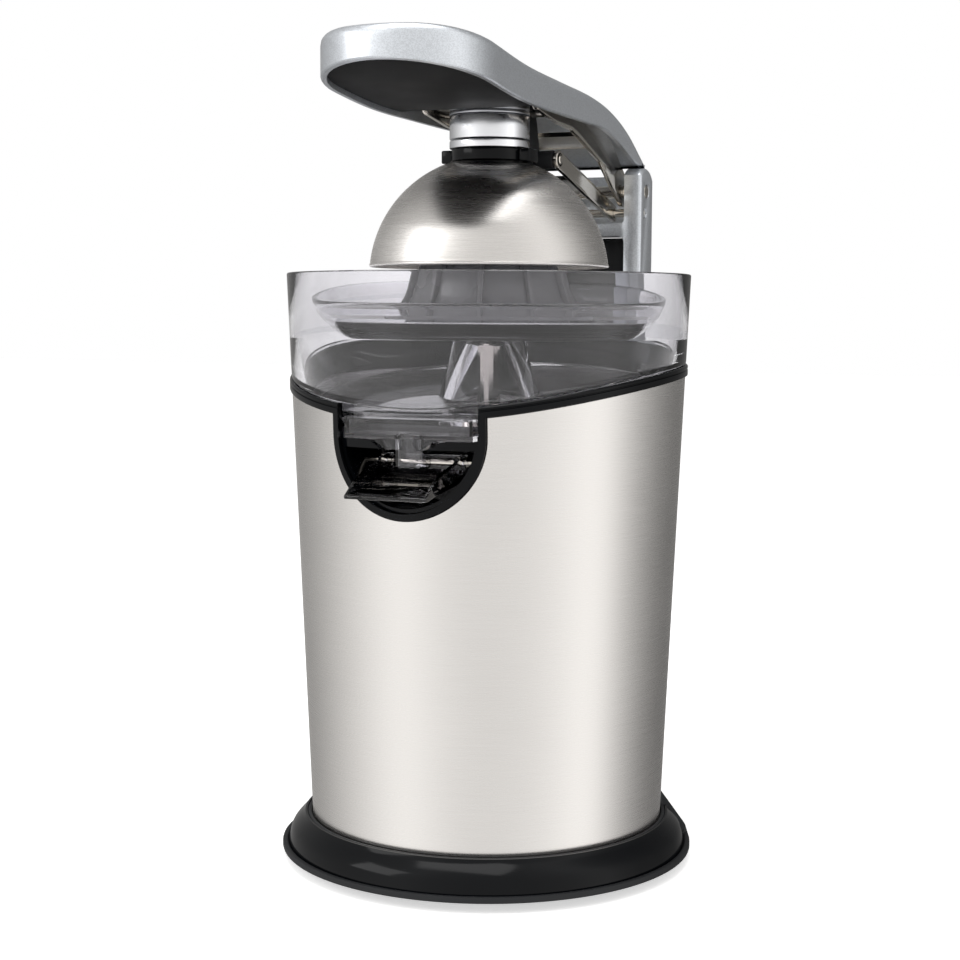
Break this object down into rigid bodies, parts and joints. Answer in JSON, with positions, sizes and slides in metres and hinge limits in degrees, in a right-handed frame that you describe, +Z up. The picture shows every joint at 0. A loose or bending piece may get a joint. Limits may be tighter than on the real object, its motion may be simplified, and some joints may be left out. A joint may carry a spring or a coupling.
{
  "type": "citrus press juicer",
  "caption": "Lever-operated citrus press with a motor-driven reaming cone, a pressing dome, a strainer and juice bowl, and a tilting spout trough.",
  "frame": {"origin": "on the worktop, on the common axis of the cone, the bowl and the press", "axes": "+Z up; -Y towards the spout and the lever's nose; +X to the right of the spout, seen from behind"},
  "size_m": [0.181, 0.2185, 0.347],
  "materials": {
    "steel": "fine brushed stainless steel",
    "polished_steel": "polished steel",
    "silver_paint": "silver-grey metallic paint",
    "satin_metal": "satin turned rings",
    "gloss_black": "gloss blue-black",
    "matte_black": "matte black",
    "smoke": "clear smoke-grey plastic",
    "rubber": "matte black rubber",
    "cone_plastic": "satin dark grey",
    "gear_plastic": "natural nylon",
    "copper": "wound laminated steel, copper coloured",
    "bronze": "sintered bronze"
  },
  "bodies": {
    "root": {"base_housing": "matte_black", "base_skirt": "gloss_black", "base_plate": "matte_black", "foot_1": "rubber", "foot_2": "rubber", "foot_3": "rubber", "foot_4": "rubber", "plate_screw_1": "polished_steel", "plate_screw_2": "polished_steel", "plate_screw_3": "polished_steel", "plate_screw_4": "polished_steel", "cord_gland": "rubber", "body_shell": "steel", "top_trim": "gloss_black", "spout_recess": "gloss_black", "top_deck": "matte_black", "chassis_frame": "matte_black", "gearbox_cover": "matte_black", "idler_axle": "polished_steel", "motor_can": "steel", "motor_end_cap": "matte_black", "motor_stator": "copper", "shaft_bushing": "bronze", "microswitch": "matte_black", "return_spring": "polished_steel", "juice_bowl": "smoke", "shaft_seal": "rubber", "strainer_ring": "smoke", "strainer_dish": "steel", "trough_pin": "polished_steel", "post": "silver_paint", "post_rear_cover": "matte_black", "hinge_pin": "polished_steel", "link_pin_rear": "polished_steel"},
    "lever": {"handle_cover": "silver_paint", "handle_underside": "matte_black", "lever_frame": "polished_steel", "carrier_pin": "polished_steel"},
    "press": {"carrier_arm": "matte_black", "collar_light_ring": "satin_metal", "collar_main_ring": "satin_metal", "collar_upper_ring": "satin_metal", "press_neck": "gloss_black", "press_dome": "steel", "dome_retainer": "matte_black", "link_pin_front": "polished_steel"},
    "lower_link": {"lower_link": "polished_steel"},
    "trough": {"drip_trough": "smoke"},
    "cone_slide": {"thrust_collar": "bronze"},
    "cone": {"reamer_cone": "cone_plastic", "drive_shaft": "polished_steel", "main_gear": "gear_plastic"},
    "idler": {"idler_gear": "gear_plastic"},
    "rotor": {"motor_rotor": "copper", "motor_pinion": "bronze"},
    "plunger": {"switch_plunger": "gear_plastic"}
  },
  "joints": [
    {"name": "lever_hinge", "type": "hinge", "parent": "root", "child": "lever", "pos_m": [0, 0.098, 0.296], "axis": [-1, 0, 0], "range_deg": [0, 50]},
    {"name": "press_tilt", "type": "hinge", "parent": "lever", "child": "press", "pos_m": [0, 0.02, 0.326], "axis": [-1, 0, 0], "range_deg": [-30, 0]},
    {"name": "link_swing", "type": "hinge", "parent": "root", "child": "lower_link", "pos_m": [0, 0.0964, 0.2861], "axis": [-1, 0, 0], "range_deg": [0, 52.5]},
    {"name": "trough_tilt", "type": "hinge", "parent": "root", "child": "trough", "pos_m": [0, -0.063, 0.1785], "axis": [-1, 0, 0], "range_deg": [0, 18]},
    {"name": "cone_press", "type": "slide", "parent": "root", "child": "cone_slide", "axis": [0, 0, -1], "range_m": [0, 0.0025], "stiffness_N_per_m": 1500, "springref_m": -0.005, "deforming": ["return_spring"]},
    {"name": "cone_spin", "type": "hinge", "parent": "cone_slide", "child": "cone", "pos_m": [0, 0, 0.2], "axis": [0, 0, 1], "continuous": true},
    {"name": "idler_spin", "type": "hinge", "parent": "root", "child": "idler", "pos_m": [0, 0.039, 0.15], "axis": [0, 0, 1], "continuous": true},
    {"name": "rotor_spin", "type": "hinge", "parent": "root", "child": "rotor", "pos_m": [0, 0, 0.1], "axis": [0, 0, 1], "continuous": true},
    {"name": "plunger_slide", "type": "slide", "parent": "root", "child": "plunger", "axis": [0, 0, -1], "range_m": [0, 0.0025]}
  ],
  "couplings": [
    {"joint": "press_tilt", "follows": "lever_hinge", "ratio": -0.6},
    {"joint": "link_swing", "follows": "lever_hinge", "ratio": 1.045},
    {"joint": "idler_spin", "follows": "rotor_spin", "ratio": -0.2381},
    {"joint": "cone_spin", "follows": "rotor_spin", "ratio": 0.056689},
    {"joint": "plunger_slide", "follows": "cone_press", "ratio": 1}
  ]
}
